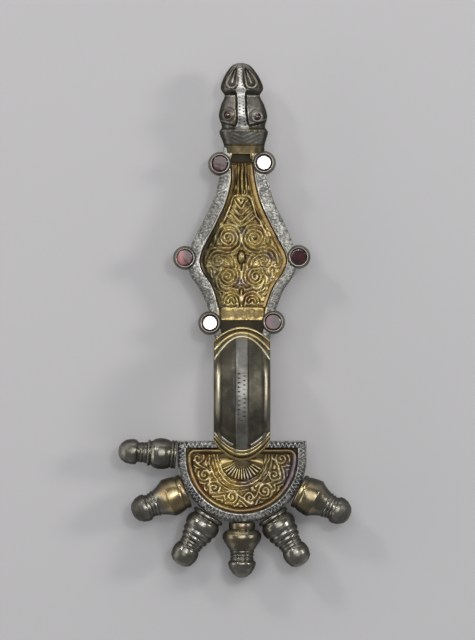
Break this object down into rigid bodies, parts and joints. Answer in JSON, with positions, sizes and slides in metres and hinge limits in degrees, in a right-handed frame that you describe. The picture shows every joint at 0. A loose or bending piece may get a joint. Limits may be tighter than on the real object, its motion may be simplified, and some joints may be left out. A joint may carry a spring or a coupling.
{
  "type": "fibula brooch",
  "caption": "Radiate-headed bow brooch: half-round head plate with turned knobs, arched bow, lozenge foot plate with animal head, garnet settings and a spring pin.",
  "frame": {"origin": "centre of the head plate's half circle, on its back face", "axes": "+Y along the brooch from the head plate to the animal head, +X to the right as seen from the front, +Z out of the decorated front"},
  "size_m": [0.0679, 0.1501, 0.026],
  "materials": {
    "silver_gilt": "cast silver, fire-gilt in the relief, silver borders with niello inlay, worn and tarnished",
    "dark_silver": "turned silver with dark olive tarnish and worn high spots",
    "garnet": "polished flat garnet over foil",
    "iron": "forged iron, brown patina"
  },
  "bodies": {
    "brooch": {"brooch_casting": "silver_gilt", "knob_1": "dark_silver", "knob_2": "dark_silver", "knob_3": "dark_silver", "knob_4": "dark_silver", "knob_5": "dark_silver", "knob_6": "dark_silver", "garnet_neck_left": "garnet", "garnet_neck_right": "garnet", "garnet_side_left": "garnet", "garnet_side_right": "garnet", "garnet_bow_left": "garnet", "garnet_bow_right": "garnet", "eye_left": "garnet", "eye_right": "garnet", "spring_axle": "iron", "spring_coil": "iron"},
    "pin": {"pin": "iron"}
  },
  "joints": [
    {"name": "pin_swing", "type": "hinge", "parent": "brooch", "child": "pin", "pos_m": [0, -0.002, -0.0056], "axis": [0, 0, 1], "range_deg": [0, 13], "stiffness_Nm_per_rad": 0.02}
  ]
}
